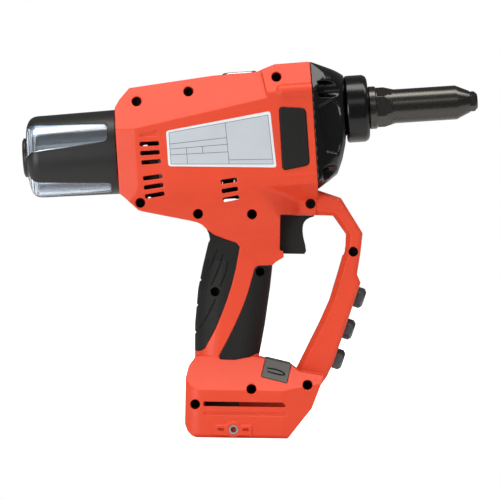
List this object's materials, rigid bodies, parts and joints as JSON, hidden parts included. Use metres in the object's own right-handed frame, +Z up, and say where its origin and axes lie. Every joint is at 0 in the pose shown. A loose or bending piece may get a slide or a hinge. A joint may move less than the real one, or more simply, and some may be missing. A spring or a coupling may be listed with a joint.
{
  "type": "cordless rivet tool",
  "caption": "Cordless blind rivet tool: a pulling nose driven by a motor and ball screw, closed hand guard, trigger, rear mandrel container, hanging bail and battery foot.",
  "frame": {"origin": "centre of the bounding box on the plane the foot stands on", "axes": "+X towards the nose, +Y to the tool's left, +Z up; the pulling axis is tilted 4.5 degrees nose up"},
  "size_m": [0.326, 0.079, 0.2673],
  "materials": {
    "orange_plastic": "satin moulded",
    "black_rubber": "matte moulded",
    "black_casting": "semi-gloss",
    "dark_steel": "blackened",
    "bright_steel": "polished",
    "aluminium": "satin",
    "brass": "bright",
    "black_plastic": "satin moulded",
    "grey_plastic": "satin, smoke tinted",
    "clear_plastic": "clear",
    "circuit_board": "lacquered",
    "copper": "bare",
    "magnet": "sintered"
  },
  "bodies": {
    "tool": {"right_housing": "orange_plastic", "left_housing": "orange_plastic", "housing_screws": "dark_steel", "right_grip_pads": "black_rubber", "left_grip_pads": "black_rubber", "side_bumpers": "black_rubber", "rating_plate": "aluminium", "front_housing": "black_casting", "front_screws": "dark_steel", "collar_nut": "black_casting", "lock_nut": "dark_steel", "nose_sleeve": "dark_steel", "nosepiece": "dark_steel", "spare_nosepieces": "dark_steel", "lamp_cover": "grey_plastic", "lamp_board": "circuit_board", "hook_inserts": "bright_steel", "motor_case": "bright_steel", "motor_magnets": "magnet", "motor_end_cap": "black_plastic", "rotor_bearings": "bright_steel", "motor_plate": "aluminium", "ring_gear": "dark_steel", "bearing_plate": "aluminium", "carrier_bearing": "bright_steel", "nut_bearings": "bright_steel", "guide_rails": "bright_steel", "mandrel_tube": "bright_steel", "switch_body": "black_plastic", "control_board": "circuit_board", "terminal_block": "black_plastic", "terminal_blades": "brass", "trigger_spring": "bright_steel"},
    "trigger": {"trigger": "black_plastic"},
    "container": {"container_frame": "black_plastic", "container_cup": "clear_plastic", "container_seal": "black_rubber"},
    "bail": {"hang_bail": "bright_steel"},
    "rotor": {"rotor_shaft": "bright_steel", "armature": "copper", "commutator": "copper", "cooling_fan": "black_plastic", "sun_pinion": "bright_steel"},
    "carrier": {"planet_carrier": "bright_steel", "drive_gear": "bright_steel"},
    "planet_1": {"planet_gear_1": "bright_steel"},
    "planet_2": {"planet_gear_2": "bright_steel"},
    "planet_3": {"planet_gear_3": "bright_steel"},
    "nut": {"ball_nut": "bright_steel", "nut_gear": "bright_steel"},
    "puller": {"ball_screw": "bright_steel", "guide_key": "brass", "jaw_case": "dark_steel", "jaw_pusher": "bright_steel", "jaw_spring": "bright_steel", "jaws": "bright_steel"}
  },
  "joints": [
    {"name": "trigger_slide", "type": "slide", "parent": "tool", "child": "trigger", "axis": [-1, 0, 0], "range_m": [0, 0.006], "stiffness_N_per_m": 700, "springref_m": -0.004, "deforming": ["trigger_spring"]},
    {"name": "container_pull", "type": "slide", "parent": "tool", "child": "container", "axis": [-0.9969, 0, -0.0785], "range_m": [0, 0.09]},
    {"name": "bail_hinge", "type": "hinge", "parent": "tool", "child": "bail", "pos_m": [0.00229, 0, 0.25857], "axis": [0, 1, 0], "range_deg": [0, 100]},
    {"name": "rotor_spin", "type": "hinge", "parent": "tool", "child": "rotor", "pos_m": [-0.01253, 0, 0.192], "axis": [0.9969, 0, 0.0785], "range_deg": [0, 21061]},
    {"name": "carrier_spin", "type": "hinge", "parent": "tool", "child": "carrier", "pos_m": [0.01738, 0, 0.19436], "axis": [0.9969, 0, 0.0785], "range_deg": [0, 4681]},
    {"name": "planet_1_spin", "type": "hinge", "parent": "carrier", "child": "planet_1", "pos_m": [0.00635, 0, 0.20703], "axis": [0.9969, 0, 0.0785], "range_deg": [-13105, 0]},
    {"name": "planet_2_spin", "type": "hinge", "parent": "carrier", "child": "planet_2", "pos_m": [0.00794, -0.01169, 0.18684], "axis": [0.9969, 0, 0.0785], "range_deg": [-13105, 0]},
    {"name": "planet_3_spin", "type": "hinge", "parent": "carrier", "child": "planet_3", "pos_m": [0.00794, 0.01169, 0.18684], "axis": [0.9969, 0, 0.0785], "range_deg": [-13105, 0]},
    {"name": "nut_spin", "type": "hinge", "parent": "tool", "child": "nut", "pos_m": [0.04446, 0, 0.2326], "axis": [0.9969, 0, 0.0785], "range_deg": [-1801, 0]},
    {"name": "puller_slide", "type": "slide", "parent": "tool", "child": "puller", "axis": [-0.9969, 0, -0.0785], "range_m": [0, 0.025]}
  ],
  "couplings": [
    {"joint": "rotor_spin", "follows": "puller_slide", "rad_per_m": 14703},
    {"joint": "carrier_spin", "follows": "puller_slide", "rad_per_m": 3267.3},
    {"joint": "planet_1_spin", "follows": "puller_slide", "rad_per_m": -9148.3},
    {"joint": "planet_2_spin", "follows": "puller_slide", "rad_per_m": -9148.3},
    {"joint": "planet_3_spin", "follows": "puller_slide", "rad_per_m": -9148.3},
    {"joint": "nut_spin", "follows": "puller_slide", "rad_per_m": -1256.6}
  ]
}
